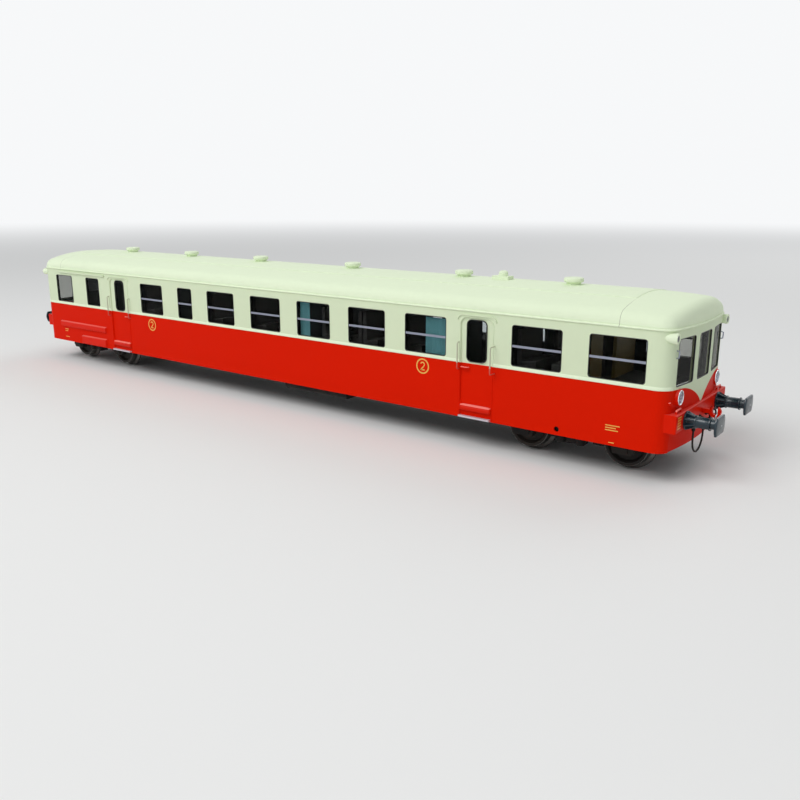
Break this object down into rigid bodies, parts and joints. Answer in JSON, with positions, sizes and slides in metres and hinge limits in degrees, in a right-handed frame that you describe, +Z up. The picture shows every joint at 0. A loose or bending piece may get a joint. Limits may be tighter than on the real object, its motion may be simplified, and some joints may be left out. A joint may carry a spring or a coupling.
{
  "type": "scale model railcar trailer",
  "caption": "H0 scale model of a bogie railcar trailer with bowed ends, a two-tone body, glazed windows, swivelling bogies and free-turning wheelsets.",
  "frame": {"origin": "on the floor under the middle of the model, at the lowest point of the wheel flanges", "axes": "+X to the front end, +Y to the left side, +Z up"},
  "size_m": [0.2378, 0.0378, 0.0393],
  "materials": {
    "body_paint": "two-tone satin paint on moulded plastic, red below the waist and pale cream above",
    "cream_paint": "satin pale cream paint",
    "red_paint": "satin red paint",
    "window_clear": "clear moulded glazing",
    "silver_bar": "printed silver line",
    "seat_plastic": "matt dark moulding",
    "partition_plastic": "matt grey-green moulding",
    "black_plastic": "matt black moulding",
    "ballast_steel": "bare steel bar",
    "screw_steel": "blackened steel",
    "buffer_plastic": "satin dark blue-grey moulding",
    "lens_clear": "clear lens",
    "lens_dark": "dark lens",
    "wire_dark": "painted wire",
    "step_metal": "grey painted step",
    "axle_steel": "turned steel",
    "wheel_metal": "blackened metal with worn treads"
  },
  "bodies": {
    "carbody": {"side_left": "body_paint", "side_right": "body_paint", "end_front": "body_paint", "end_rear": "body_paint", "roof": "cream_paint", "roof_vents": "cream_paint", "roof_box": "cream_paint", "glazing_left": "window_clear", "glazing_right": "window_clear", "glazing_ends": "window_clear", "sash_bars": "silver_bar", "interior": "seat_plastic", "seats": "seat_plastic", "partitions": "partition_plastic", "chassis": "black_plastic", "ballast": "ballast_steel", "centre_sill": "black_plastic", "equipment_boxes": "black_plastic", "air_tanks": "black_plastic", "pivot_screws": "screw_steel", "buffer_beams": "red_paint", "buffer_stocks": "buffer_plastic", "buffer_heads": "buffer_plastic", "coupling_hooks": "red_paint", "brake_hoses": "black_plastic", "headlamps": "red_paint", "headlamp_lenses": "lens_clear", "marker_lamps": "cream_paint", "marker_lamp_lenses": "lens_dark", "handrails": "wire_dark", "door_steps": "step_metal"},
    "bogie_front": {"bogie_frame_front": "black_plastic", "brake_gear_front": "black_plastic"},
    "bogie_rear": {"bogie_frame_rear": "black_plastic", "brake_gear_rear": "black_plastic"},
    "wheelset_1": {"axle_1": "axle_steel", "wheels_1": "wheel_metal"},
    "wheelset_2": {"axle_2": "axle_steel", "wheels_2": "wheel_metal"},
    "wheelset_3": {"axle_3": "axle_steel", "wheels_3": "wheel_metal"},
    "wheelset_4": {"axle_4": "axle_steel", "wheels_4": "wheel_metal"}
  },
  "joints": [
    {"name": "bogie_front_swivel", "type": "hinge", "parent": "carbody", "child": "bogie_front", "pos_m": [0.0885, 0, 0.0086], "axis": [0, 0, 1], "range_deg": [-12, 12]},
    {"name": "bogie_rear_swivel", "type": "hinge", "parent": "carbody", "child": "bogie_rear", "pos_m": [-0.0885, 0, 0.0086], "axis": [0, 0, 1], "range_deg": [-12, 12]},
    {"name": "wheelset_1_turn", "type": "hinge", "parent": "bogie_front", "child": "wheelset_1", "pos_m": [0.1, 0, 0.006], "axis": [0, 1, 0], "continuous": true},
    {"name": "wheelset_2_turn", "type": "hinge", "parent": "bogie_front", "child": "wheelset_2", "pos_m": [0.077, 0, 0.006], "axis": [0, 1, 0], "continuous": true},
    {"name": "wheelset_3_turn", "type": "hinge", "parent": "bogie_rear", "child": "wheelset_3", "pos_m": [-0.077, 0, 0.006], "axis": [0, 1, 0], "continuous": true},
    {"name": "wheelset_4_turn", "type": "hinge", "parent": "bogie_rear", "child": "wheelset_4", "pos_m": [-0.1, 0, 0.006], "axis": [0, 1, 0], "continuous": true}
  ]
}
